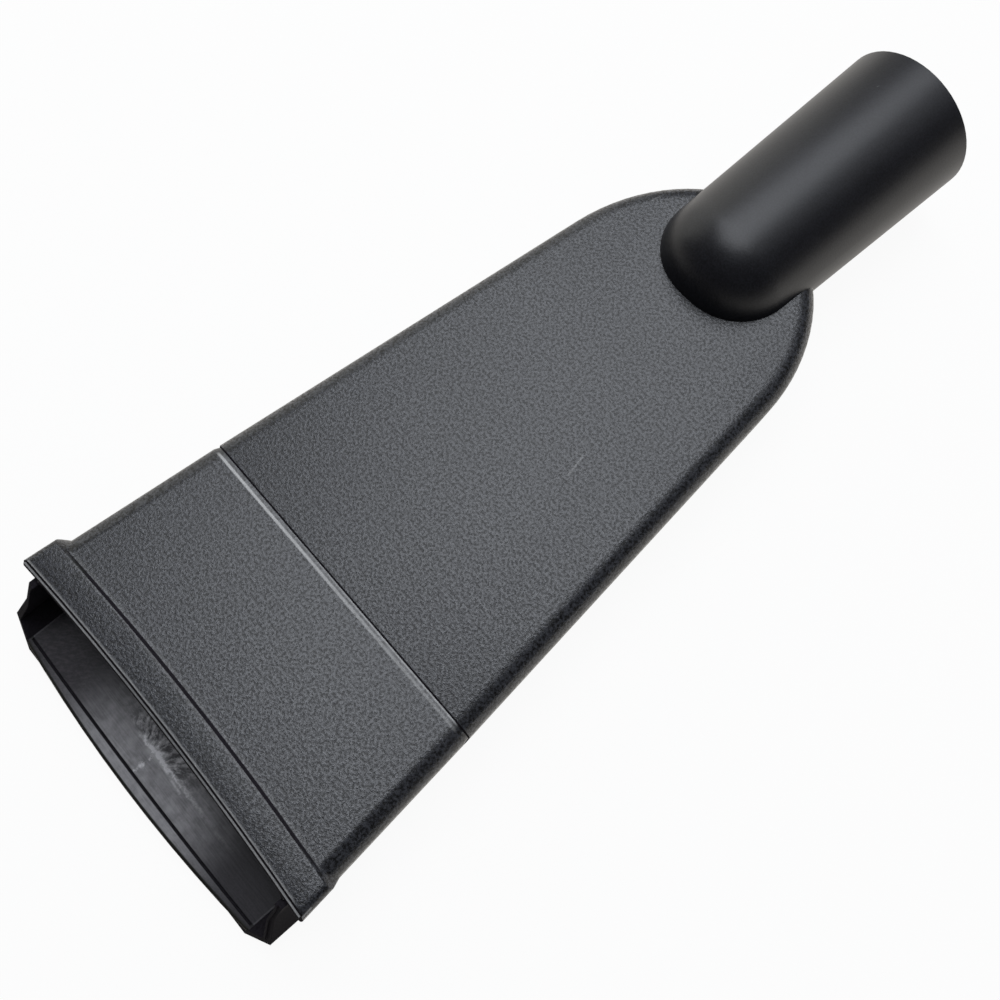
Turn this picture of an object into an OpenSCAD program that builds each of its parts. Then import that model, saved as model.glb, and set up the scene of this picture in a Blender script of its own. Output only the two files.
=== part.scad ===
// Wide flat suction nozzle for a vacuum cleaner, moulded in one piece.
// The nozzle lies on its flat underside. X is across the mouth, Y runs from the mouth
// to the neck and Z is up.

/* [Body] */
// Width of the body at the upper lip of the mouth
body_w = 102.2; // [80:0.2:140]
// Height of the flat top above the underside
body_h = 23.9; // [23:0.1:30]
// Distance from the upper lip to the rear end of the body
body_l = 197; // [185:0.1:230]
// Length of the rounded rear end, measured along the nozzle
arch_l = 39.5; // [30:0.1:60]
// Angle by which each side closes in between the mouth and the insert line
front_taper = 5.5; // [3:0.1:7]
// Angle by which each side closes in behind the insert line
rear_taper = 6.1; // [4:0.1:7]
// Angle by which the side walls lean in below the rounded top edge
side_draft = 5; // [0.5:0.5:6]
// Radius of the rounded top edge
edge_r = 5; // [3.5:0.1:6]
// Width of the chamfer along the bottom edge
chamfer_w = 6.5; // [4:0.1:8]
// Height of the chamfer along the bottom edge
chamfer_h = 7; // [4:0.1:8]
// Thickness of the walls
wall = 2.4; // [1.8:0.1:2.8]
// Thickness of the bottom wall
floor_t = 3.8; // [2:0.1:4.4]

/* [Mouth] */
// Angle by which the mouth leans forward from the vertical
mouth_rake = 31; // [10:1:36]
// How far the lower lip bows forward at its middle
lip_bow = 2.3; // [0.5:0.1:5]
// How far the ends of the lower lip lie behind the front of the underside
lip_back = 1.2; // [0:0.1:2]
// Radius of the rounding along the lower lip's upper edge
lip_edge_r = 0.6; // [0.2:0.1:1.5]
// Thickness of the top wall at the upper lip, without the collar
lip_t = 0.8; // [0.8:0.1:2]
// Length over which the top wall stays that thin
lip_l = 7.5; // [4:0.1:8]
// Thickness of the side walls between the mouth and the side recesses
mouth_wall = 1.4; // [1.2:0.1:3]
// Thickness of the side walls at the mouth's widest level, above the bottom chamfers
mouth_low_wall = 2.2; // [1.6:0.1:4]
// Distance across from the corner of the mouth's floor to the outside of the chamfer
mouth_corner = 3; // [2.4:0.1:6]
// Thickness of the raised rim round the opening and of the bead along the upper lip
rim_t = 0.65; // [0.4:0.05:1]
// How far the rim and the bead stand out of the face behind them
rim_h = 0.4; // [0.2:0.1:1]
// Width of the land along the lower lip, in front of its groove
land_w = 2.2; // [1.5:0.1:3.5]
// Width and depth of the groove along the lower lip
land_groove = 0.6; // [0.3:0.1:1]

/* [Collar] */
// Length of the raised collar on the top, behind the upper lip
collar_l = 10.7; // [8:0.1:20]
// How far the middle of the collar's front lies behind the slanted face of the mouth
collar_set = 2.9; // [1.5:0.1:4]
// How far the middle of the collar lies behind its ends
collar_bow = 1.5; // [0.5:0.1:3]
// How far the collar stands out at the sides
collar_side = 1; // [0.4:0.1:1.6]
// How far the collar stands up from the flat top
collar_top = 0.8; // [0.3:0.1:1.2]
// Radius of the collar's rounded corners
collar_r = 2.3; // [1:0.1:3.4]
// Radius by which the two front tips of the collar are rounded
tip_r = 0.6; // [0.3:0.1:1.8]
// Width of the soft step from the collar down to the flat top
collar_step = 1.4; // [1:0.1:2.4]
// Height of the collar on the sides, measured from the flat top
collar_drop = 1.9; // [1.2:0.1:6]
// Depth of the recess below the collar, measured from the body's side
recess_d = 3.8; // [1:0.1:4.2]
// Height of the upright face of the recess
recess_h = 5.9; // [1:0.1:6.5]

/* [Insert line] */
// Distance of the line across the top from the upper lip
line_y = 50.8; // [30:0.1:90]
// Width of the line
line_w = 2; // [0.6:0.1:2.5]
// Depth of the line
line_d = 0.3; // [0.1:0.05:0.5]

/* [Neck] */
// Outer diameter of the neck at its free end
neck_d = 40; // [38.6:0.1:42]
// Outer diameter of the neck where it leaves its rounded front
neck_base_d = 37.2; // [35.5:0.1:38]
// Distance of the free end from the upper lip
neck_end = 242.5; // [238:0.5:300]
// Distance of the neck's rounded front from the upper lip
nose_y = 161.5; // [150:0.5:165]
// Radius of the rounding of the neck's front
nose_r = 16; // [10:0.1:17]
// Height of the neck's lowest line above the underside, at the free end
neck_lift = 0.1; // [0:0.1:4]
// Diameter of the socket for the suction tube
socket_d = 35.2; // [34:0.1:36]
// Depth of the socket
socket_depth = 32; // [25:0.5:40]
// Width of the lead-in chamfer at the socket's mouth
lead_in = 0.8; // [0.3:0.1:1.2]

/* [Hidden] */
$fn = 96;
// Steps of a rounded edge, of one side of the rear arch and of the collar's bow
EDGE_STEPS = 8;
ARCH_STEPS = 18;
BOW_STEPS = 12;
// How far cutting solids reach past the part
OVER = 10;

// Half widths of the plan outline
half_w = body_w / 2;
arch_y = body_l - arch_l;
arch_half_w = body_half(arch_y);
// Levels of the side profile
edge_z = body_h - edge_r;
draft = tan(side_draft);
chamfer_in = (edge_z - chamfer_h) * draft;
// The upper lip is the origin of the lengths, and the mouth face leans forward from it
lip_z = body_h + collar_top;
lip_reach = lip_z * tan(mouth_rake);
front_y = -lip_reach - lip_bow - OVER;
// The lower lip spans the flat between the bottom chamfers
lip_half_w = half_w - chamfer_in - chamfer_w;
lip_front_y = -lip_reach - lip_bow + lip_back;
lip_arc_r = (lip_half_w ^ 2 + lip_bow ^ 2) / (2 * lip_bow);
// The collar's front is hollow, a wide cylinder that leans with the mouth face
hollow_set = collar_set * cos(mouth_rake);
hollow_bow = collar_bow * cos(mouth_rake);
hollow_r = (half_w ^ 2 + hollow_bow ^ 2) / (2 * hollow_bow);
collar_half_w = half_w + collar_side;
// The corners of the collar fit between its top and its lower edge
corner_r = min(collar_r, collar_top + collar_drop - 0.1);
collar_low_z = body_h - collar_drop;
// The neck lies along the body, its axis a little below the flat top
neck_r = neck_d / 2;
neck_base_r = neck_base_d / 2;
axis_z = neck_r + neck_lift;
nose_flat = neck_base_r - nose_r;
duct_r = neck_base_r - wall;
// Middle of the whole length, where the part's origin lies
mid_y = (neck_end + lip_front_y) / 2;

function body_half(y) =
    half_w - tan(front_taper) * min(max(y, 0), line_y) - tan(rear_taper) * max(y - line_y, 0);

// Right half of the plan outline, each point with its outward normal
function arch_point(t) =
    let (lean = tan(rear_taper) * arch_l, across = arch_half_w - lean,
         n = [arch_l * cos(t), across * sin(t) + lean * cos(t)])
    [[across * cos(t) + lean * (1 - sin(t)), arch_y + arch_l * sin(t)], n / norm(n)];
function facing(angle) = [cos(angle), sin(angle)];
HALF_OUTLINE = concat(
    [[[half_w, front_y], facing(0)], [[half_w, 0], facing(front_taper / 2)],
     [[body_half(line_y), line_y], facing((front_taper + rear_taper) / 2)]],
    [for (i = [0:ARCH_STEPS]) arch_point(90 * i / ARCH_STEPS)]);

// One ring of the outline, moved inwards by the inset, at height z
function outline_ring(inset, z) =
    let (right = [for (p = HALF_OUTLINE) p[0] - inset * p[1]], last = len(right) - 1)
    concat([for (p = right) [p[0], p[1], z]],
           [for (i = [last - 1:-1:0]) [-right[i][0], right[i][1], z]]);

// Side profile of the body as pairs of inset and height, from the underside to the flat top
BODY_PROFILE = concat(
    [[chamfer_in + chamfer_w, 0], [chamfer_in, chamfer_h]],
    [for (i = [0:EDGE_STEPS]) let (a = 90 * i / EDGE_STEPS)
        [edge_r * (1 - cos(a)), edge_z + edge_r * sin(a)]]);

// Side profile of the hollow inside: the same shape, one wall thickness further in
chamfer_slope = chamfer_w / chamfer_h;
chamfer_wall = wall * sqrt(1 + chamfer_slope ^ 2);
inner_chamfer_z = chamfer_h + (chamfer_wall - wall) / chamfer_slope;
inner_r = max(edge_r - wall, 0.5);
inner_top = body_h - wall;
HOLLOW_PROFILE = concat(
    [[chamfer_in + (chamfer_h - floor_t) * chamfer_slope + chamfer_wall, floor_t],
     [(edge_z - inner_chamfer_z) * draft + wall, inner_chamfer_z]],
    [for (i = [0:EDGE_STEPS]) let (a = 90 * i / EDGE_STEPS)
        [wall + inner_r * (1 - cos(a)), inner_top - inner_r + inner_r * sin(a)]]);

// Step from the collar down to the flat top, as shares of its width and of its height
STEP_SHAPE = [[1.2, -0.1], [1, 0], [0.86, 0.03], [0.74, 0.13],
    [0.63, 0.28], [0.37, 0.72], [0.26, 0.87], [0.14, 0.97]];

// Half widths of the opening at the recesses, at its widest level and at its floor
mouth_x = half_w - recess_d - mouth_wall;
mouth_wide_x = half_w - chamfer_in - mouth_low_wall;
mouth_floor_x = lip_half_w + floor_t * chamfer_slope - mouth_corner;

// Solid between rings of equal length, closed by the first and the last. The rings run
// anticlockwise as seen from the last one.
module loft(rings) {
    n = len(rings[0]);
    m = len(rings);
    polyhedron(
        points = [for (ring = rings) each ring],
        faces = concat(
            [[for (i = [0:n - 1]) i]],
            [[for (i = [n - 1:-1:0]) (m - 1) * n + i]],
            [for (k = [0:m - 2], i = [0:n - 1]) let (j = (i + 1) % n)
                [k * n + i, (k + 1) * n + i, (k + 1) * n + j, k * n + j]]),
        convexity = 6);
}

module body_solid() {
    loft([for (p = BODY_PROFILE) outline_ring(p[0], p[1])]);
}

// The hollow starts behind the mouth, where the recessed side walls end
module body_hollow() {
    intersection() {
        loft([for (p = HOLLOW_PROFILE) outline_ring(p[0], p[1])]);
        translate([-body_w, collar_l, -OVER])
            cube([2 * body_w, body_l, body_h + 2 * OVER]);
    }
}

// Turns a drawing in X and Z into a bar that runs from y0 to y1
module along_y(y0, y1) {
    translate([0, y1, 0])
        rotate([90, 0, 0])
            linear_extrude(y1 - y0)
                children();
}

// One ring of the collar across the top and down both sides, its corners rounded by r. The
// ring lies at y_side on the sides and at y_mid in the middle, and bows across the top.
function collar_ring(y_side, y_mid, bow, grow_side, grow_top, r, low_z) =
    let (y_end = y_mid - bow * (body_half(y_mid) / half_w) ^ 2,
         corner = [for (i = [0:EDGE_STEPS])
            let (a = 90 * i / EDGE_STEPS, y = y_side + (y_end - y_side) * sin(a))
            [body_half(y) + grow_side - r * (1 - cos(a)), y,
             body_h + grow_top - r * (1 - sin(a))]],
         end_x = corner[EDGE_STEPS][0],
         top = [for (i = [1:BOW_STEPS - 1])
            let (share = 1 - 2 * i / BOW_STEPS)
            [end_x * share, y_mid + (y_end - y_mid) * share ^ 2, body_h + grow_top]])
    concat([[corner[0][0], y_side, low_z]], corner, top,
           [for (i = [EDGE_STEPS:-1:0]) [-corner[i][0], corner[i][1], corner[i][2]]],
           [[-corner[0][0], y_side, low_z]]);

// Raised collar. On the top it ends in the soft step, and on the sides it runs out gently.
module collar() {
    sunk_z = min(collar_low_z, edge_z) - 1;
    sink = 0.3;
    ramp = 2.7;
    side_end = collar_l - 1.3;
    step_y = collar_l - collar_step / 2;
    cap_y = collar_l + 4;
    loft(concat(
        [collar_ring(cap_y, cap_y, 0, -4 * sink, -4 * sink, edge_r, sunk_z)],
        [for (p = STEP_SHAPE) let (left = 1 - p[0] / STEP_SHAPE[0][0])
            collar_ring(side_end + ramp * (1 - left), step_y + p[0] * collar_step, collar_bow,
                (collar_side + sink) * left - sink, collar_top * p[1],
                edge_r + (corner_r - edge_r) * left, sunk_z + (collar_low_z - sunk_z) * left)],
        [for (y = [[side_end, step_y, collar_bow], [0, 0, 0], [front_y, front_y, 0]])
            collar_ring(y[0], y[1], y[2], collar_side, collar_top, corner_r, collar_low_z)]));
}

// Recess in each side of the mouth, between the collar and the bottom chamfer
module side_recesses() {
    in_x = half_w - recess_d;
    for (side = [0, 1])
        mirror([side, 0, 0])
            along_y(front_y - OVER, collar_l - wall)
                polygon([[in_x, collar_low_z], [in_x, collar_low_z - recess_h],
                    [half_w - chamfer_in, chamfer_h], [half_w + OVER, chamfer_h],
                    [half_w + OVER, collar_low_z]]);
}

// Outline of the opening under a top wall of the given thickness, grown evenly for its rim
module mouth_outline(top_wall, grow = 0) {
    top_r = inner_r + grow;
    side_x = mouth_x + grow;
    top_z = body_h - top_wall + grow;
    shoulder_z = collar_low_z - recess_h - wall / 2;
    right = concat(
        [[mouth_floor_x + grow / 2, floor_t - grow], [mouth_wide_x + grow, chamfer_h + 0.4],
         [side_x, shoulder_z]],
        [for (i = [0:EDGE_STEPS]) let (a = 90 * i / EDGE_STEPS)
            [side_x - top_r * (1 - cos(a)), top_z - top_r + top_r * sin(a)]]);
    last = len(right) - 1;
    polygon(concat(right, [for (i = [last:-1:0]) [-right[i][0], right[i][1]]]));
}

// The opening's passage back to the hollow of the body
module mouth_passage() {
    along_y(front_y - OVER, lip_l)
        mouth_outline(lip_t);
    along_y(front_y - OVER, collar_l + 1)
        mouth_outline(wall);
}

// Places what is drawn against the leaning mouth face, with Y straight out of its back
module on_mouth_face() {
    translate([0, 0, lip_z])
        rotate([-mouth_rake, 0, 0])
            children();
}

// Everything in front of the leaning mouth face, and of the hollow front of the collar above
// it with its rounded tips, all moved forward by the offset
module before_mouth(offset_y = 0) {
    tip_y = hollow_set - hollow_bow;
    on_mouth_face()
        translate([-body_w, -offset_y - 4 * body_h, -3 * body_h])
            cube([2 * body_w, 4 * body_h, 5 * body_h]);
    intersection() {
        on_mouth_face() {
            translate([0, hollow_set - hollow_r - offset_y, -OVER])
                cylinder(r = hollow_r, h = 3 * OVER, $fn = 720);
            for (side = [0, 1])
                mirror([side, 0, 0])
                    translate([collar_half_w - tip_r, tip_y + tip_r - offset_y, -OVER])
                        linear_extrude(3 * OVER)
                            difference() {
                                translate([0, -OVER])
                                    square(OVER);
                                circle(r = tip_r, $fn = 48);
                            }
        }
        translate([-body_w, -OVER, collar_low_z])
            cube([2 * body_w, 2 * OVER, 2 * OVER]);
    }
}

// Bowed edge of the lower lip, drawn in plan and moved back by the inset
module lip_plan(inset = 0) {
    intersection() {
        translate([0, lip_front_y + lip_arc_r])
            circle(r = lip_arc_r - inset, $fn = 720);
        translate([-lip_half_w, lip_front_y])
            square([2 * lip_half_w, wall - lip_front_y]);
    }
}

// The lower lip, its upper front edge rounded
module lower_lip() {
    depth = wall - lip_front_y;
    intersection() {
        translate([0, lip_front_y + lip_arc_r, 0])
            rotate_extrude($fn = 720)
                translate([lip_arc_r - 2 * depth, 0]) {
                    square([2 * depth - lip_edge_r, floor_t]);
                    square([2 * depth, floor_t - lip_edge_r]);
                    translate([2 * depth - lip_edge_r, floor_t - lip_edge_r])
                        circle(r = lip_edge_r, $fn = 32);
                }
        translate([-lip_half_w, lip_front_y - 1, -1])
            cube([2 * lip_half_w, depth + 1, floor_t + 2]);
    }
}

// Groove that parts the land of the lower lip from the floor behind it
module lip_groove() {
    translate([0, 0, floor_t - land_groove])
        linear_extrude(2 * land_groove)
            intersection() {
                difference() {
                    lip_plan(land_w);
                    lip_plan(land_w + land_groove);
                }
                translate([-mouth_floor_x, lip_front_y])
                    square([2 * mouth_floor_x, lip_bow + land_w + 2]);
            }
}

// One ring of the body's own section at y, moved inwards by the inset
function section_ring(y, inset) =
    let (right = [for (i = [0:EDGE_STEPS]) let (a = 90 * i / EDGE_STEPS)
            [body_half(y) - inset - edge_r * (1 - cos(a)), y,
             body_h - inset - edge_r * (1 - sin(a))]],
         low_x = body_half(y) - inset - chamfer_in)
    concat([[low_x, y, chamfer_h]], right,
           [for (i = [EDGE_STEPS:-1:0]) [-right[i][0], y, right[i][2]]],
           [[-low_x, y, chamfer_h]]);

// Shallow groove round the top and the sides where two mould inserts meet. Its floor slopes
// down gently from the front and rises steeply behind.
module insert_line() {
    proud = 0.1;
    y0 = line_y - line_w / 2;
    y1 = line_y + line_w / 2;
    difference() {
        translate([-body_w, y0, chamfer_h + 1])
            cube([2 * body_w, line_w, body_h]);
        loft([section_ring(y1 + 0.1, -proud),
              section_ring(y1 - 0.2 * line_w, line_d),
              section_ring(y0 - 0.1, -proud)]);
    }
}

// Places a solid of revolution on the neck's axis, with its start at y
module on_neck_axis(y) {
    translate([0, y, axis_z])
        rotate([-90, 0, 0])
            children();
}

// Tube with a rounded front, as a solid of revolution
module round_nosed(flat, nose, end_r, length) {
    rotate_extrude()
        intersection() {
            square([neck_d, length]);
            union() {
                translate([flat, nose])
                    circle(r = nose);
                square([flat, 2 * nose]);
                polygon([[0, nose], [flat + nose, nose], [end_r, length], [0, length]]);
            }
        }
}

module neck_solid() {
    on_neck_axis(nose_y)
        round_nosed(nose_flat, nose_r, neck_r, neck_end - nose_y);
}

// Air way from the body into the neck, and the socket for the suction tube
module neck_bore() {
    on_neck_axis(nose_y + wall)
        round_nosed(nose_flat, nose_r - wall, duct_r, neck_end - nose_y - wall - socket_depth + 1);
    on_neck_axis(neck_end - socket_depth)
        cylinder(d = socket_d, h = socket_depth + OVER);
    on_neck_axis(neck_end - lead_in)
        cylinder(r1 = socket_d / 2, r2 = socket_d / 2 + 2 * lead_in, h = 2 * lead_in);
}

module nozzle() {
    color([0.24, 0.24, 0.25])
        translate([0, -mid_y, 0])
            difference() {
                union() {
                    difference() {
                        union() {
                            body_solid();
                            collar();
                        }
                        before_mouth();
                        side_recesses();
                        insert_line();
                    }
                    difference() {
                        union() {
                            along_y(front_y, lip_l - 1)
                                mouth_outline(lip_t, rim_t);
                            translate([-half_w, front_y, body_h - lip_t])
                                cube([body_w, collar_set - front_y, rim_t]);
                        }
                        before_mouth(rim_h);
                    }
                    lower_lip();
                    neck_solid();
                }
                body_hollow();
                mouth_passage();
                lip_groove();
                neck_bore();
            }
}

nozzle();
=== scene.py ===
import math

import bmesh
import bpy
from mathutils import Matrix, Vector


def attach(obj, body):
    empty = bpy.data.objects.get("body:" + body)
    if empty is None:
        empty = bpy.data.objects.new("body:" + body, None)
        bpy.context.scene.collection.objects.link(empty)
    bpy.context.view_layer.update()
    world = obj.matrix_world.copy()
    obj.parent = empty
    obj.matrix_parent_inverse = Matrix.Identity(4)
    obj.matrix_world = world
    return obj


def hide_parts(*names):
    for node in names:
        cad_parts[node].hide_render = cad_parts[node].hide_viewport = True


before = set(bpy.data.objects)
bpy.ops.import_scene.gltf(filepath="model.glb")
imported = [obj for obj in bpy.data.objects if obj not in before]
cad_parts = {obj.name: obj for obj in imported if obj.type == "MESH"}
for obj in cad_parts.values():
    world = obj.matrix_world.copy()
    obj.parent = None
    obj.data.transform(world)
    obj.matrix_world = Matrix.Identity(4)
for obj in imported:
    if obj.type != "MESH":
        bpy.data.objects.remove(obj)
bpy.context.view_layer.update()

bl_info = {
    "name": "Vacuum nozzle",
    "version": (1, 0, 0),
    "blender": (4, 5, 0),
    "location": "View3D > Sidebar > Nozzle",
    "description": "Finishes the moulded nozzle and sets it in a plain pale studio",
    "category": "Object",
}

MM = 0.001
NODE = "nozzle"
BODY = "root"


class NozzleForm(bpy.types.PropertyGroup):
    """Landmarks of the moulding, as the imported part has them."""

    lip_y: bpy.props.FloatProperty(
        name="Upper lip",
        description="Place of the upper lip along the nozzle",
        default=-113.28 * MM,
        unit="LENGTH",
    )
    top_z: bpy.props.FloatProperty(
        name="Flat top",
        description="Height of the flat top above the underside",
        default=23.9 * MM,
        unit="LENGTH",
    )
    line_y: bpy.props.FloatProperty(
        name="Insert line",
        description="Distance of the insert line from the upper lip",
        default=50.8 * MM,
        unit="LENGTH",
    )
    nose_y: bpy.props.FloatProperty(
        name="Neck front",
        description="Distance of the neck's rounded front from the upper lip",
        default=161.5 * MM,
        unit="LENGTH",
    )
    neck_axis_z: bpy.props.FloatProperty(
        name="Neck axis",
        description="Height of the neck's axis above the underside",
        default=20.1 * MM,
        unit="LENGTH",
    )
    neck_r: bpy.props.FloatProperty(
        name="Neck radius",
        description="Outer radius of the neck at its free end",
        default=20 * MM,
        unit="LENGTH",
    )
    wall: bpy.props.FloatProperty(
        name="Wall",
        description="Thickness of the walls",
        default=2.4 * MM,
        unit="LENGTH",
    )
    edge_soft: bpy.props.FloatProperty(
        name="Edge rounding",
        description="Radius of the small rounding on the moulded edges",
        default=0.25 * MM,
        unit="LENGTH",
    )


class NozzleFinish(bpy.types.PropertyGroup):
    """Colours and textures of the moulded plastic."""

    body_dark: bpy.props.FloatVectorProperty(
        name="Body, dark",
        description="Colour of the low spots in the grain of the body",
        default=(0.002, 0.002, 0.003),
        subtype="COLOR",
        size=3,
    )
    body_pale: bpy.props.FloatVectorProperty(
        name="Body, pale",
        description="Colour of the high spots in the grain of the body",
        default=(0.056, 0.058, 0.066),
        subtype="COLOR",
        size=3,
    )
    neck_colour: bpy.props.FloatVectorProperty(
        name="Neck",
        description="Colour of the satin neck",
        default=(0.007, 0.007, 0.009),
        subtype="COLOR",
        size=3,
    )
    inside_colour: bpy.props.FloatVectorProperty(
        name="Mouth floor",
        description="Colour of the smooth floor of the mouth",
        default=(0.012, 0.0105, 0.0135),
        subtype="COLOR",
        size=3,
    )
    # Colour of the real flow mark, made far paler than the plastic so that it also paints the sheen on it.
    flow_mark_and_sheen: bpy.props.FloatVectorProperty(
        name="Flow mark",
        description="Colour of the pale mark round the gate on the mouth floor",
        default=(0.78, 0.77, 0.80),
        subtype="COLOR",
        size=3,
    )
    lip_edge: bpy.props.FloatVectorProperty(
        name="Lip edge",
        description="Colour of the rounded edge of the lower lip",
        default=(0.007, 0.007, 0.004),
        subtype="COLOR",
        size=3,
    )
    # Painted shade: colour of the dark, nearly glossless copy of the plastic on the faces in shade.
    wall_colour: bpy.props.FloatVectorProperty(
        name="Inner walls",
        description="Colour of the walls inside the mouth and of its recesses",
        default=(0.015, 0.0135, 0.0165),
        subtype="COLOR",
        size=3,
    )
    # Colour of real scratches and specks, and of the painted highlights along the collar's edges and the insert
    # line.
    rubbed_and_highlit: bpy.props.FloatVectorProperty(
        name="Rubbed",
        description="Colour of scratches, specks and rubbed edges",
        default=(0.30, 0.30, 0.30),
        subtype="COLOR",
        size=3,
    )
    grain: bpy.props.FloatProperty(
        name="Grain",
        description="Distance from one high spot of the grain to the next",
        default=0.68 * MM,
        unit="LENGTH",
    )


class NozzleStage(bpy.types.PropertyGroup):
    """The studio: floor, light and camera."""

    floor_colour: bpy.props.FloatVectorProperty(
        name="Floor",
        description="Colour of the floor",
        default=(0.92, 0.92, 0.92),
        subtype="COLOR",
        size=3,
    )
    camera_place: bpy.props.FloatVectorProperty(
        name="Camera place",
        description="Place of the camera from the upper lip's middle on the flat top",
        default=(71.6 * MM, 40.5 * MM, 248.5 * MM),
        subtype="TRANSLATION",
        unit="LENGTH",
        size=3,
    )
    camera_turn: bpy.props.FloatVectorProperty(
        name="Camera turn",
        description="Turn of the camera about X, Y and Z",
        default=(math.radians(17.25), math.radians(0.232), math.radians(48.744)),
        subtype="EULER",
        unit="ROTATION",
        size=3,
    )
    view_width: bpy.props.FloatProperty(
        name="Sensor",
        description="Width of the camera's sensor in millimetres",
        default=36.0,
    )
    focal: bpy.props.FloatProperty(
        name="Focal length",
        description="Focal length of the camera in millimetres",
        default=40.32,
    )
    shift: bpy.props.FloatVectorProperty(
        name="Shift",
        description="Sideways and upward shift of the lens, as shares of the sensor's width",
        default=(-0.0027, 0.0148),
        size=2,
    )


class Wire:
    """A socket's value. Operators on it add the maths nodes that they stand for."""

    def __init__(self, net, socket):
        self.net = net
        self.socket = socket

    def maths(self, operation, *values, clamp=False):
        settings = {"operation": operation, "use_clamp": clamp}
        return self.net.add("ShaderNodeMath", dict(enumerate(values)), settings)

    def __add__(self, other):
        return self.maths("ADD", self, other)

    def __radd__(self, other):
        return self.maths("ADD", other, self)

    def __sub__(self, other):
        return self.maths("SUBTRACT", self, other)

    def __rsub__(self, other):
        return self.maths("SUBTRACT", other, self)

    def __mul__(self, other):
        return self.maths("MULTIPLY", self, other)

    def __rmul__(self, other):
        return self.maths("MULTIPLY", other, self)

    def __truediv__(self, other):
        return self.maths("DIVIDE", self, other)

    def __pow__(self, other):
        return self.maths("POWER", self, other)

    def clamped(self):
        return self.maths("ADD", self, 0.0, clamp=True)

    def size(self):
        return self.maths("ABSOLUTE", self)

    def larger(self, other):
        return self.maths("MAXIMUM", self, other)

    def eased(self, low, high):
        """0 below low, 1 above high and smooth between them. A low above the high turns it round."""
        if low > high:
            return 1.0 - self.eased(high, low)
        return self.net.add(
            "ShaderNodeMapRange",
            {"Value": self, "From Min": low, "From Max": high},
            {"interpolation_type": "SMOOTHSTEP"},
        )


class Net:
    """The nodes of one material or of the world."""

    def __init__(self, tree):
        self.tree = tree
        self.tree.nodes.clear()

    def add(self, kind, values=None, settings=None, output=0):
        """Adds a node, makes its settings, fills its sockets and returns one of its outputs."""
        node = self.tree.nodes.new(kind)
        for name, value in (settings or {}).items():
            if name == "stops":
                self.set_stops(node.color_ramp, value)
            else:
                setattr(node, name, value)
        for name, value in (values or {}).items():
            if isinstance(value, Wire):
                self.tree.links.new(value.socket, node.inputs[name])
            else:
                node.inputs[name].default_value = value
        return Wire(self, node.outputs[output]) if node.outputs else node

    def set_stops(self, ramp, stops):
        for index, (position, colour) in enumerate(stops):
            stop = ramp.elements[index] if index < 2 else ramp.elements.new(position)
            stop.position = position
            stop.color = (*colour, 1.0)

    def vector(self, operation, *values, output=0):
        return self.add(
            "ShaderNodeVectorMath", dict(enumerate(values)), {"operation": operation}, output
        )

    def scaled(self, vector, factor):
        return self.add(
            "ShaderNodeVectorMath", {0: vector, "Scale": factor}, {"operation": "SCALE"}
        )

    def length(self, vector):
        return self.vector("LENGTH", vector, output="Value")

    def split(self, vector):
        """The three parts of a vector."""
        node = self.tree.nodes.new("ShaderNodeSeparateXYZ")
        self.tree.links.new(vector.socket, node.inputs[0])
        return [Wire(self, socket) for socket in node.outputs]

    def join(self, x, y, z):
        return self.add("ShaderNodeCombineXYZ", {0: x, 1: y, 2: z})

    def colour_mix(self, factor, low, high):
        """A colour between low and high."""
        values = {"Factor": factor}
        values[6] = low if isinstance(low, Wire) else (*low, 1.0)
        values[7] = high if isinstance(high, Wire) else (*high, 1.0)
        return self.add("ShaderNodeMix", values, {"data_type": "RGBA"}, 2)

    def noise(self, place, scale, detail=2.0, roughness=0.5):
        values = {"Vector": place, "Scale": scale, "Detail": detail, "Roughness": roughness}
        return self.add("ShaderNodeTexNoise", values)

    def place_in_mm(self, form):
        """Millimetres from the middle of the upper lip on the flat top."""
        coords = self.add("ShaderNodeTexCoord", output="Object")
        origin = self.vector("SUBTRACT", coords, (0.0, form.lip_y, form.top_z))
        return self.scaled(origin, 1 / MM)

    def streak(self, place, start, end, width):
        """1 on the line from start to end, fading to 0 at half its width."""
        along = Vector(end) - Vector(start)
        reach = self.vector("SUBTRACT", place, start)
        share = self.vector("DOT_PRODUCT", reach, tuple(along), output="Value")
        share = (share / along.length_squared).clamped()
        apart = self.vector("SUBTRACT", reach, self.scaled(tuple(along), share))
        return self.length(apart).eased(width / 2, 0.0)

    def plastic(self, colour, roughness, normal, **uniform):
        """The surface shader, with the values that are the same all over on its own sockets."""
        values = {"Base Color": colour, "Roughness": roughness, "Normal": normal}
        values.update({name.replace("_", " "): value for name, value in uniform.items()})
        shader = self.add("ShaderNodeBsdfPrincipled", values)
        self.add("ShaderNodeOutputMaterial", {"Surface": shader})


def new_material(name):
    material = bpy.data.materials.new(name)
    material.use_nodes = True
    return material, Net(material.node_tree)


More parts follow.
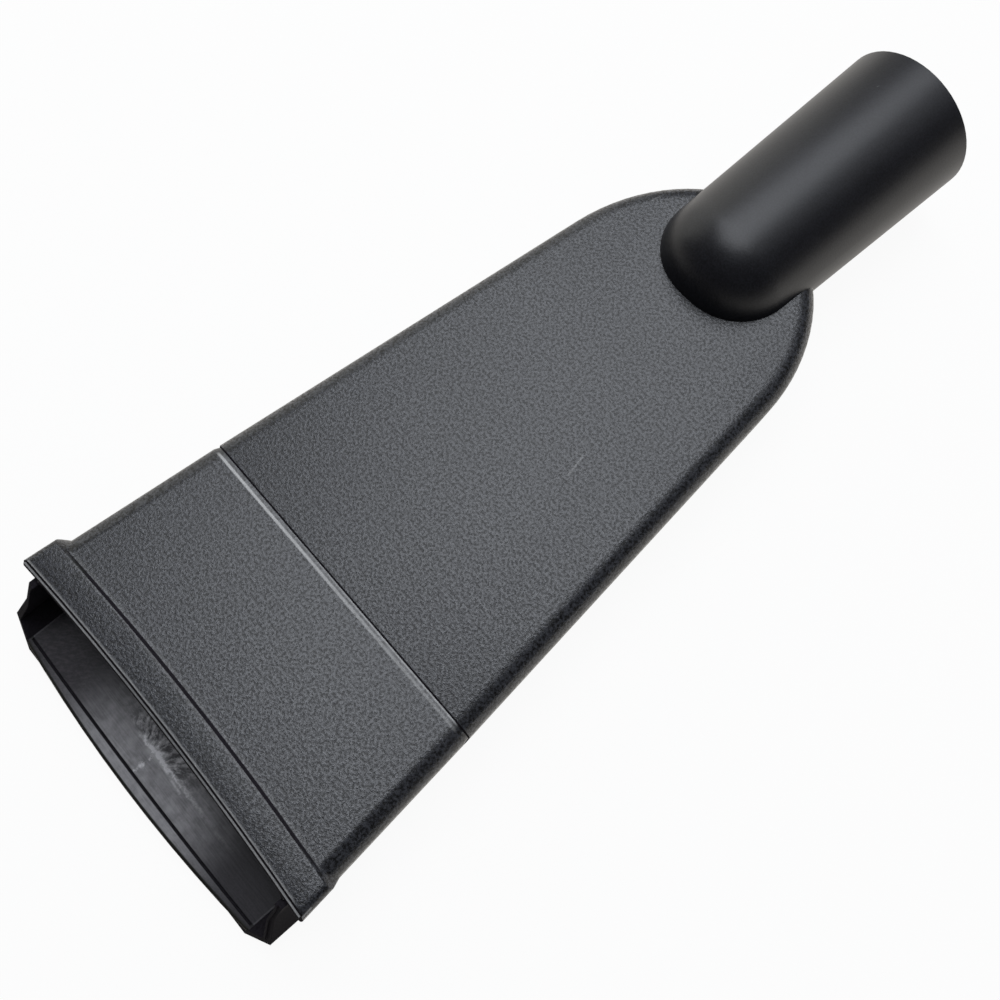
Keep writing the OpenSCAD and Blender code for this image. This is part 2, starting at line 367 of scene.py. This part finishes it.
def grained_body(form, finish):
    """Fine spark grain of the body's outside, with real scratches, painted highlights along the collar's edges
    and the insert line, and painted shade along the collar's rear step.
    """
    material, net = new_material("grained_body")
    place = net.place_in_mm(form)
    x, y, z = net.split(place)
    grain_scale = MM / finish.grain
    grain = net.noise(place, grain_scale, 2.0, 0.6)
    fine = net.noise(place, 2.7 * grain_scale, 1.0)
    clouds = net.noise(place, 0.03, 3.0)
    speckle = (grain * 0.8 + fine * 0.2).eased(0.38, 0.62)
    speckle = (speckle * (0.8 + 0.4 * clouds)).clamped()
    colour = net.colour_mix(speckle, finish.body_dark, finish.body_pale)

    scratch = net.streak(place, (14.6, 114.2, 0), (15.7, 108.6, 0), 0.7)
    hook = net.streak(place, (12.6, 113.7, 0), (14.7, 114.6, 0), 0.6)
    rub = net.streak(place, (-24.9, 174.4, 0), (-24.4, 178.0, 0), 0.9)
    worn_and_highlit = (scratch * 0.5).larger(hook * 0.25).larger(rub * 0.4) * (0.4 + 0.9 * fine)
    # Painted highlights: pale lines along the collar's edges, joined to the real scratches.
    worn_and_highlit = worn_and_highlit.larger(collar_edge_highlights(net, place))
    colour = net.colour_mix(worn_and_highlit.clamped(), colour, finish.rubbed_and_highlit)
    # Painted highlight along the insert line, in a paler colour than the scratches.
    line = insert_line_highlights(net, place, form)
    colour = net.colour_mix(line.clamped(), colour, tuple(1.5 * part for part in finish.rubbed_and_highlit))
    # Painted shade: the line along the collar's rear step is painted black, fading towards its ends.
    step = (y + (x * x) * (1.5 / 51.1**2) - 10.65).size().eased(0.4, 0.2)
    step = step * y.eased(6.0, 7.0) * z.eased(0.0, 0.02) * x.size().eased(47.0, 41.0)
    colour = net.colour_mix(step, colour, (0.0, 0.0, 0.0))

    height = grain * 0.7 + fine * 0.3
    edge = net.add("ShaderNodeBevel", {"Radius": form.edge_soft}, {"samples": 6})
    bump = net.add(
        "ShaderNodeBump",
        {"Strength": 1.0, "Distance": 0.12 * MM, "Height": height, "Normal": edge},
    )
    net.plastic(colour, 0.42 - 0.24 * speckle + 0.4 * step, bump, IOR=1.5)
    return material


def insert_line_highlights(net, place, form):
    """Painted highlight on the insert line's slope: two pale streaks along it, one fading to the right, the
    other to the left.
    """
    x, y, z = net.split(place)
    line = form.line_y / MM
    slope = y.eased(line - 1.2, line - 0.8) * y.eased(line + 0.75, line + 0.55)
    front = (y - line + 0.65).size().eased(0.5, 0.15) * (0.24 + 0.66 * x.eased(38.0, -40.0))
    rear = (y - line - 0.5).size().eased(0.4, 0.1) * (0.55 * x.eased(-30.0, 20.0))
    broken = 0.85 + 0.3 * net.noise(place, 0.9, 3.0, 0.7)
    ends = x.size().eased(45.5, 41.0) * z.eased(-0.8, -0.3)
    return (slope * 0.12 + front + rear) * broken * ends


def collar_edge_highlights(net, place):
    """Painted highlights along the collar: pale lines on its front edge, its bead and both sides of its rear
    step.
    """
    x, y, z = net.split(place)
    bow = (x * x) * (1.5 / 51.1**2)
    broken = 0.6 + 0.6 * net.noise(place, 1.2, 3.0, 0.7)
    front = (y + bow).eased(3.55, 2.9) * z.eased(0.5, 0.7) * x.eased(49.5, 46.5)
    bead = y.eased(4.0, 3.5) * z.eased(0.1, 0.0) * z.eased(-0.5, -0.3) * (0.6 + 0.4 * x.size().eased(8.0, 30.0))
    before = (y + bow - 10.1).size().eased(0.6, 0.1) * z.eased(0.4, 0.6)
    behind = (y + bow - 11.45).size().eased(0.6, 0.1)
    across = x.size().eased(47.0, 43.0) * y.eased(14.0, 13.0)
    lines = front.larger(bead).larger(before * 0.08).larger(behind * 0.18)
    return lines * broken * across.larger(y.eased(6.0, 5.0))


def satin_neck(form, finish):
    """Smooth satin of the neck, with a few pale specks."""
    material, net = new_material("satin_neck")
    place = net.place_in_mm(form)
    fine = net.noise(place, 2.2, 2.0)
    clouds = net.noise(place, 0.05, 3.0)
    colour = net.colour_mix(
        (fine * 0.8 + clouds * 0.2).eased(0.35, 0.65),
        finish.neck_colour,
        tuple(2.2 * part for part in finish.neck_colour),
    )
    marks = 0.0
    for start, end, width, strength in (
        ((-5.6, 230.3, 14.8), (-5.5, 230.7, 14.8), 0.8, 0.8),
        ((4.9, 238.7, 15.2), (5.0, 238.9, 15.2), 0.6, 0.6),
        ((-12.0, 231.4, 11.6), (-12.0, 231.6, 11.6), 0.6, 0.6),
        ((-3.2, 209.0, 14.9), (-3.1, 209.2, 14.9), 0.5, 0.5),
        ((-1.3, 204.7, 15.0), (1.6, 203.4, 15.0), 0.5, 0.45),
        ((-0.8, 235.7, 15.7), (-0.5, 238.6, 15.8), 0.5, 0.2),
    ):
        mark = net.streak(place, start, end, width) * strength
        marks = mark if isinstance(marks, float) else marks.larger(mark)
    colour = net.colour_mix(marks, colour, finish.rubbed_and_highlit)
    edge = net.add("ShaderNodeBevel", {"Radius": form.edge_soft}, {"samples": 6})
    bump = net.add(
        "ShaderNodeBump",
        {"Strength": 0.5, "Distance": 0.03 * MM, "Height": fine, "Normal": edge},
    )
    net.plastic(colour, 0.34 + 0.08 * clouds, bump, IOR=1.5)
    return material


def mouth_floor(form, finish):
    """Smooth floor and land of the mouth, with the flow mark round the gate, partly painted sheen, and painted
    shade in the groove.
    """
    material, net = new_material("mouth_floor")
    place = net.place_in_mm(form)
    x, y, z = net.split(place)
    lines = net.noise(net.join(x * 0.1, y * 1.6, 0.0), 1.5, 3.0, 0.6)
    hatch = net.noise(net.join((x - y) * 0.8, (x + y) * 0.3, 0.0), 1.2, 3.0, 0.7)
    fine = net.noise(place, 2.2, 3.0, 0.6)
    streaks = lines + (hatch - lines) * x.eased(-20.0, -30.0)
    colour = net.colour_mix(
        (streaks * 0.6 + fine * 0.4).eased(0.35, 0.65),
        finish.inside_colour,
        tuple(2.4 * part for part in finish.inside_colour),
    )
    pale = flow_mark_and_sheen(net, x, y, streaks)
    left = x.eased(-18.0, -30.0) * x.eased(-46.0, -40.0) * streaks.eased(0.45, 0.65)
    colour = net.colour_mix(left * 0.6, colour, (0.055, 0.042, 0.052))
    colour = net.colour_mix(pale, colour, finish.flow_mark_and_sheen)

    groove_y = (x * x) * (0.6 / 44.0**2) - 12.5
    front_y = (x * x) * (2.3 / 43.6**2) - 15.94
    # The land in front of the groove and the groove's ends are painted a little lighter with the same pale
    # colour.
    land = (groove_y - y).eased(0.25, 0.45) * x.size().eased(43.0, 25.0)
    colour = net.colour_mix(land * (0.05 + 0.10 * fine), colour, finish.flow_mark_and_sheen)
    ends = (x.size() - 43.85).size().eased(0.3, 0.05) * (y - groove_y).eased(0.3, 0.6)
    colour = net.colour_mix(ends * fine * 0.12, colour, finish.flow_mark_and_sheen)
    # Painted shade: the groove and a narrow strip on each side of it are painted nearly black.
    dark = (y - groove_y).size().eased(0.5, 0.3)
    colour = net.colour_mix(dark, colour, (0.001, 0.001, 0.001))
    colour = net.colour_mix((y - front_y).eased(1.05, 0.75), colour, finish.lip_edge)

    edge = net.add("ShaderNodeBevel", {"Radius": form.edge_soft}, {"samples": 6})
    bump = net.add(
        "ShaderNodeBump",
        {"Strength": 0.4, "Distance": 0.03 * MM, "Height": streaks + fine * 0.5, "Normal": edge},
    )
    net.plastic(colour, 0.40 + 0.12 * fine, bump, IOR=1.45)
    return material


def flow_mark_and_sheen(net, x, y, streaks):
    """Pale mark where the plastic spread from the gate: a ridge, a branch, rays and a mist. A real flow mark,
    painted brighter so that it also stands for the sheen on it.
    """
    ax, ay = x + 1.6, y + 5.6
    flat = net.join(x, y, 0.0)
    wave = net.noise(net.join(x * 0.5, 0.0, 0.0), 1.0, 3.0, 0.7)
    broken = net.noise(flat, 1.0, 3.0, 0.7).eased(0.38, 0.6)
    ridge = (ay + (wave - 0.5) * 1.8).size().eased(0.75, 0.1)
    ridge = ridge * x.eased(-9.0, -6.0) * (0.1 + 0.9 * x.eased(20.0, 2.0)) * x.eased(30.0, 22.0)
    ridge = ridge * (0.3 + 0.7 * broken)

    chain = net.noise(net.join(0.0, y, 0.0), 0.9, 2.0).eased(0.4, 0.6)
    branch = (ax + (broken - 0.5) * 0.5).size().eased(0.7, 0.1) * (0.25 + 0.5 * chain)
    branch = branch * ay.eased(0.4, -0.4) * ay.eased(-7.2, -6.2)
    for down, size, strength in ((1.4, 0.8, 0.7), (4.1, 1.2, 0.9), (8.6, 1.3, 0.3)):
        blob = net.length(net.join(ax * 0.8, ay + down, 0.0)).eased(size, size * 0.3)
        branch = branch.larger(blob * strength * (0.4 + 0.6 * broken))

    fy = y + 10.0
    angle = net.add("ShaderNodeMath", {0: fy, 1: ax}, {"operation": "ARCTAN2"})
    reach = net.length(net.join(ax, fy, 0.0))
    warp = net.noise(flat, 0.4, 2.0)
    rays = net.noise(net.join(angle * 8.0 + warp, reach * 0.35, 0.0), 1.0, 4.0, 0.7).eased(0.4, 0.65)
    deep = ay.eased(16.0, 5.0)
    fan = ay.eased(-0.3, 0.9) * ax.size().eased(17.0, 5.0) * deep

    core = net.length(net.join(ax * 0.4, ay, 0.0)).eased(2.4, 0.3)
    patches = net.noise(flat, 0.35, 3.0, 0.6).eased(0.25, 0.75)
    mist = (x - 1.0).size().eased(31.0, 11.0) * (0.2 + 0.9 * streaks + 0.5 * patches)
    mist = mist * (1.0 - 0.8 * fan * (1.0 - rays)) * deep
    pale = mist * 0.34 + fan * rays * (0.1 + 0.5 * patches) + core * 0.3 + ridge * 0.85
    pale = pale.larger(branch)
    strokes = 0.0
    for start, end, width, strength in (
        ((-1.2, -5.0), (0.9, -3.3), 1.5, 1.0),
        ((2.6, -5.0), (3.7, -3.5), 1.2, 0.7),
        ((4.4, -3.2), (5.7, -1.5), 1.4, 0.8),
        ((-2.2, -4.4), (-4.2, -2.2), 1.1, 0.6),
        ((-6.5, -5.0), (-9.4, -2.0), 1.1, 0.55),
        ((1.0, -6.1), (9.5, -6.8), 1.2, 0.7),
    ):
        stroke = net.streak(flat, (*start, 0.0), (*end, 0.0), width)
        strokes = stroke * strength + strokes
    return (pale + strokes * 0.6 * (0.4 + 0.6 * broken)).clamped()


def painted_shade_walls(form, finish):
    """Dark smooth walls inside the mouth, its recesses and the narrow faces that look forward, with next to no
    gloss: painted shade, a darker and duller copy of the plastic for faces in shade.
    """
    material, net = new_material("painted_shade_walls")
    place = net.place_in_mm(form)
    fine = net.noise(place, 2.0, 3.0, 0.6)
    colour = net.colour_mix(
        fine.eased(0.3, 0.7), finish.wall_colour, tuple(1.6 * part for part in finish.wall_colour)
    )
    edge = net.add("ShaderNodeBevel", {"Radius": form.edge_soft}, {"samples": 6})
    bump = net.add(
        "ShaderNodeBump",
        {"Strength": 0.2, "Distance": 0.02 * MM, "Height": fine, "Normal": edge},
    )
    net.plastic(colour, 0.5 + 0.1 * fine, bump, IOR=1.06)
    return material


def on_neck(point, form):
    """Whether a point lies on the neck or in it."""
    across = math.hypot(point.x, point.z - form.neck_axis_z)
    return across < form.neck_r + 0.05 * MM and point.y - form.lip_y > form.nose_y - 0.1 * MM


def in_groove(point, form):
    """Whether a point lies below the floor's level in the lower lip's groove."""
    along = point.y - form.lip_y
    return -13.5 * MM < along < -11 * MM and 3.1 * MM < point.z < 3.75 * MM


def finish_of(face, form):
    """Which finish a face has by its place and slope: 0 body, 1 neck, 2 mouth floor, 3 dull painted shade."""
    if all(on_neck(vert.co, form) for vert in face.verts):
        return 1
    centre = face.calc_center_median_weighted()
    normal = face.normal
    along = centre.y - form.lip_y
    if in_groove(centre, form):
        return 3
    if centre.z < 5 * MM and normal.z > 0.5 and abs(normal.x) < 0.1:
        return 2
    inner_slope = centre.z < 9 * MM and normal.z > 0.3
    inner_top = centre.z > 10 * MM and normal.z < -0.3
    inner_side = math.copysign(normal.x, normal.x * centre.x) < -0.3
    step = 5 * MM < along < 13 * MM and centre.z > form.top_z and normal.y > 0.6
    step = step and abs(centre.x) < 43 * MM
    recess = along < 9 * MM and 7 * MM < centre.z < 22.5 * MM
    forward = normal.y < -0.5
    # The groove, the mouth's inner faces, its recesses, the collar's rear step and the faces that look forward
    # get the painted shade.
    return 3 if inner_slope or inner_top or inner_side or recess or step or forward else 0


class NOZZLE_OT_moulding(bpy.types.Operator):
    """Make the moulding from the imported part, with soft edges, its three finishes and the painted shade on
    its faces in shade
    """

    bl_idname = "nozzle.moulding"
    bl_label = "Moulding"

    def execute(self, context):
        form = context.scene.nozzle_form
        finish = context.scene.nozzle_finish
        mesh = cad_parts[NODE].data.copy()
        mesh.name = "vacuum_nozzle"
        bm = bmesh.new()
        bm.from_mesh(mesh)
        bmesh.ops.remove_doubles(bm, verts=bm.verts, dist=0.001 * MM)
        bmesh.ops.dissolve_limit(
            bm, angle_limit=math.radians(0.5), verts=bm.verts, edges=bm.edges
        )
        self.straighten_groove(bm, form)
        for face in bm.faces:
            face.smooth = True
            face.material_index = finish_of(face, form)
        for edge in bm.edges:
            edge.smooth = edge.calc_face_angle(0.0) < math.radians(25)
        mesh.materials.clear()
        for make in (grained_body, satin_neck, mouth_floor, painted_shade_walls):
            mesh.materials.append(make(form, finish))
        bm.to_mesh(mesh)
        bm.free()
        piece = bpy.data.objects.new("vacuum_nozzle", mesh)
        context.scene.collection.objects.link(piece)
        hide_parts(NODE)
        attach(piece, BODY)
        return {"FINISHED"}

    def straighten_groove(self, bm, form):
        """Moves the lower lip's groove along, from the bow of the lip to a flatter one."""
        half = 43.56 * MM
        for vert in bm.verts:
            share = (vert.co.x / half) ** 2
            behind = vert.co.y - form.lip_y - (2.3 * share - 15.94) * MM
            if 2 * MM < behind < 3 * MM and 3.1 * MM < vert.co.z < 3.9 * MM:
                vert.co.y += (0.94 - 1.72 * share) * MM


def soft_lamp(scene, name, place, target, sides, power, colour):
    """A large rectangular lamp that points at the target."""
    data = bpy.data.lights.new(name, "AREA")
    data.shape = "RECTANGLE"
    data.size, data.size_y = sides
    data.energy = power
    data.color = colour
    lamp = bpy.data.objects.new(name, data)
    lamp.location = place
    lamp.rotation_euler = (Vector(target) - Vector(place)).to_track_quat("-Z", "Y").to_euler()
    scene.collection.objects.link(lamp)
    return lamp


class NOZZLE_OT_stage(bpy.types.Operator):
    """Set the floor, the soft light and the camera"""

    bl_idname = "nozzle.stage"
    bl_label = "Stage"

    def execute(self, context):
        scene = context.scene
        stage = scene.nozzle_stage
        form = scene.nozzle_form
        self.add_floor(scene, stage)
        self.add_light(scene)
        self.add_camera(scene, stage, form)
        scene.view_settings.view_transform = "Standard"
        return {"FINISHED"}

    def add_floor(self, scene, stage):
        mesh = bpy.data.meshes.new("floor")
        bm = bmesh.new()
        bmesh.ops.create_grid(bm, x_segments=1, y_segments=1, size=3.0)
        bm.to_mesh(mesh)
        bm.free()
        material, net = new_material("floor")
        sheet = net.add("ShaderNodeBsdfDiffuse", {"Color": (*stage.floor_colour, 1.0)})
        camera_ray = net.add("ShaderNodeLightPath", output="Is Camera Ray")
        # To camera rays the floor is mostly an even white glow. Painted reflection: to glossy rays it is mostly
        # a warm glow with little of the object's shadow, which paints pale warm rims into the plastic's
        # reflections.
        glossy_ray = net.add("ShaderNodeLightPath", output="Is Glossy Ray")
        white = net.colour_mix(glossy_ray, (1, 1, 1), (1, 0.96, 0.9))
        glow = net.add("ShaderNodeEmission", {"Color": white, "Strength": 1.0})
        seen = camera_ray * 0.94 + glossy_ray * 0.85
        surface = net.add("ShaderNodeMixShader", {0: seen, 1: sheet, 2: glow})
        net.add("ShaderNodeOutputMaterial", {"Surface": surface})
        mesh.materials.append(material)
        floor = bpy.data.objects.new("floor", mesh)
        scene.collection.objects.link(floor)

    def add_light(self, scene):
        world = bpy.data.worlds.new("studio")
        world.use_nodes = True
        scene.world = world
        net = Net(world.node_tree)
        soft = net.add("ShaderNodeBackground", {"Color": (1, 1, 1, 1), "Strength": 0.04})
        white = net.add("ShaderNodeBackground", {"Color": (1, 1, 1, 1), "Strength": 1.0})
        seen = net.add("ShaderNodeLightPath", output="Is Camera Ray")
        surface = net.add("ShaderNodeMixShader", {0: seen, 1: soft, 2: white})
        net.add("ShaderNodeOutputWorld", {"Surface": surface})
        middle = (0.0, 0.0, 0.02)
        cool, warm = (0.91, 0.945, 1.0), (1.0, 1.0, 0.94)
        soft_lamp(scene, "key", (-0.26, 0.36, 1.01), middle, (0.95, 0.95), 9.2, cool)
        soft_lamp(scene, "glint", (-0.03, 0.02, 1.01), middle, (0.3, 0.3), 0.4, cool)
        soft_lamp(scene, "rear", (0.32, 0.7, 0.9), middle, (0.6, 0.6), 0.6, cool)
        soft_lamp(scene, "fill", (-0.8, 0.15, 0.32), middle, (1.0, 0.6), 2.0, warm)

    def add_camera(self, scene, stage, form):
        data = bpy.data.cameras.new("camera")
        data.sensor_width = stage.view_width
        data.lens = stage.focal
        data.shift_x, data.shift_y = stage.shift
        data.clip_start = 0.01
        camera = bpy.data.objects.new("camera", data)
        camera.location = Vector(stage.camera_place) + Vector((0, form.lip_y, form.top_z))
        camera.rotation_euler = stage.camera_turn
        scene.collection.objects.link(camera)
        scene.camera = camera


class NOZZLE_PT_panel(bpy.types.Panel):
    """Lists the nozzle's steps and values in the sidebar"""

    bl_idname = "NOZZLE_PT_panel"
    bl_label = "Nozzle"
    bl_space_type = "VIEW_3D"
    bl_region_type = "UI"
    bl_category = "Nozzle"

    def draw(self, context):
        scene = context.scene
        for group, operator in (
            (scene.nozzle_form, None),
            (scene.nozzle_finish, "nozzle.moulding"),
            (scene.nozzle_stage, "nozzle.stage"),
        ):
            box = self.layout.box()
            for name in group.__annotations__:
                box.prop(group, name)
            if operator:
                box.operator(operator)


GROUPS = {
    "nozzle_form": NozzleForm,
    "nozzle_finish": NozzleFinish,
    "nozzle_stage": NozzleStage,
}
CLASSES = (*GROUPS.values(), NOZZLE_OT_moulding, NOZZLE_OT_stage, NOZZLE_PT_panel)


def register():
    for cls in CLASSES:
        bpy.utils.register_class(cls)
    for name, cls in GROUPS.items():
        setattr(bpy.types.Scene, name, bpy.props.PointerProperty(type=cls))


def unregister():
    for name in GROUPS:
        delattr(bpy.types.Scene, name)
    for cls in reversed(CLASSES):
        bpy.utils.unregister_class(cls)


def main():
    register()
    bpy.ops.nozzle.moulding()
    bpy.ops.nozzle.stage()


if __name__ == "__main__":
    main()
